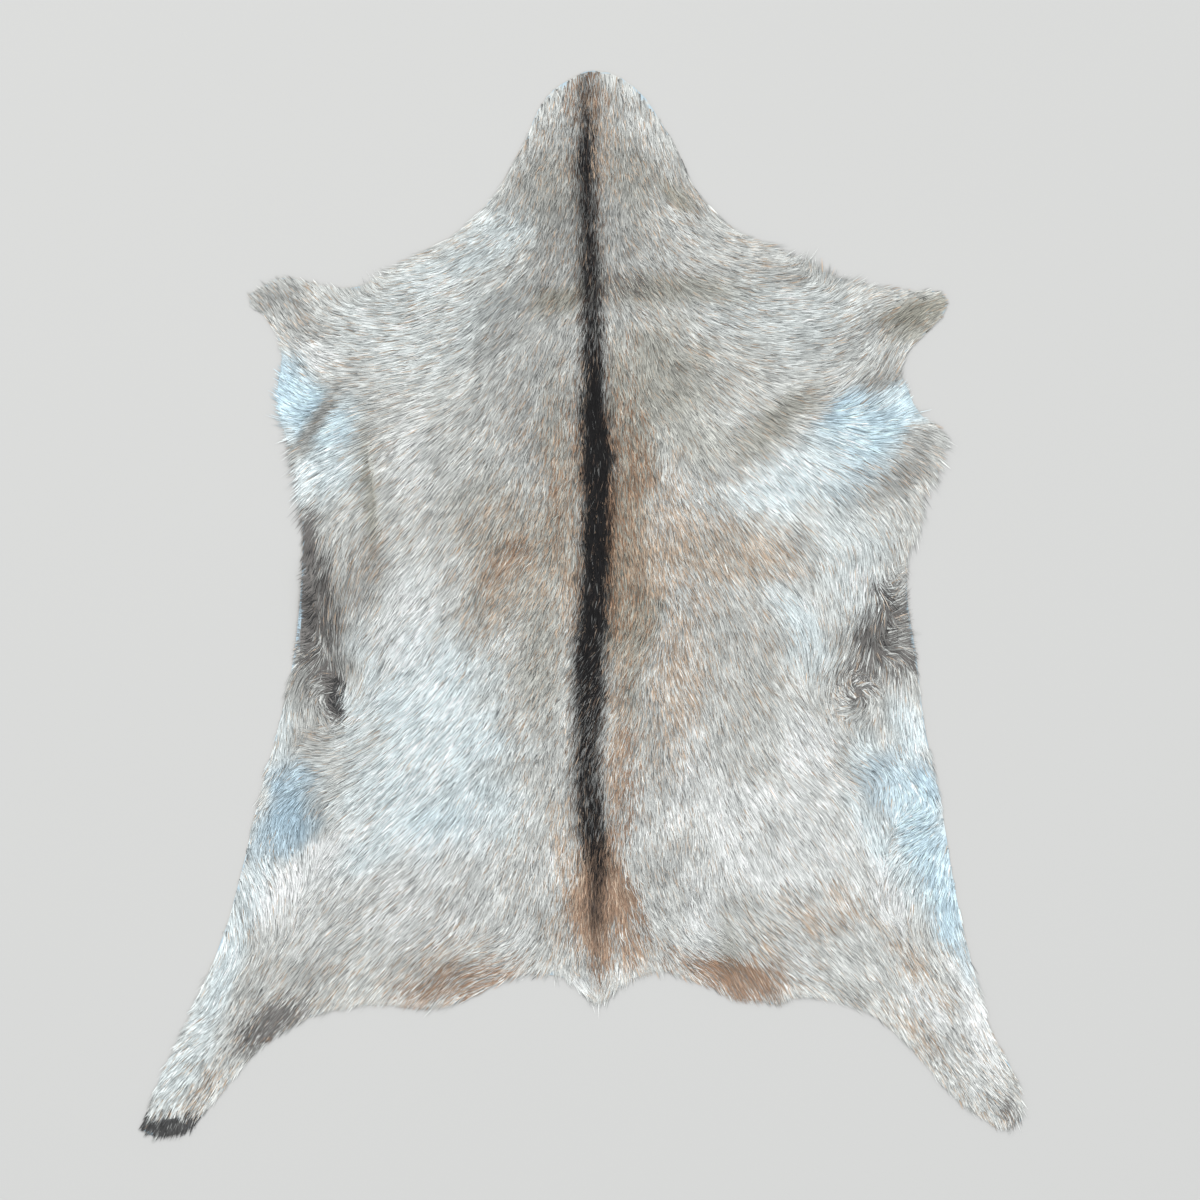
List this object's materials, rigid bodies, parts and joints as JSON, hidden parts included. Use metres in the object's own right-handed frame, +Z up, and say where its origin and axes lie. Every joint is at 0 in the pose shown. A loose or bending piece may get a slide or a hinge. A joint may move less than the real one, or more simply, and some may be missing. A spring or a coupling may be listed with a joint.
{
  "type": "goatskin",
  "caption": "Hair-on goatskin laid flat hair side up, one skin with neck, fore shanks, chest flaps, hind legs and tail root, soft folds at the flanks.",
  "frame": {"origin": "on the surface that the skin lies on, under the middle of its box", "axes": "+Z up, hair side up, +Y towards the neck, +X towards the animal's right side"},
  "size_m": [0.7914, 0.9592, 0.0166],
  "materials": {
    "hide_leather": "tanned flesh side, pale and matt, bluish white where the hair is thin",
    "coat": "short glossy goat hair, cream and grey with tan flecks, white patches and a black line along the back"
  },
  "bodies": {
    "root": {"hide": "hide_leather"}
  },
  "joints": []
}
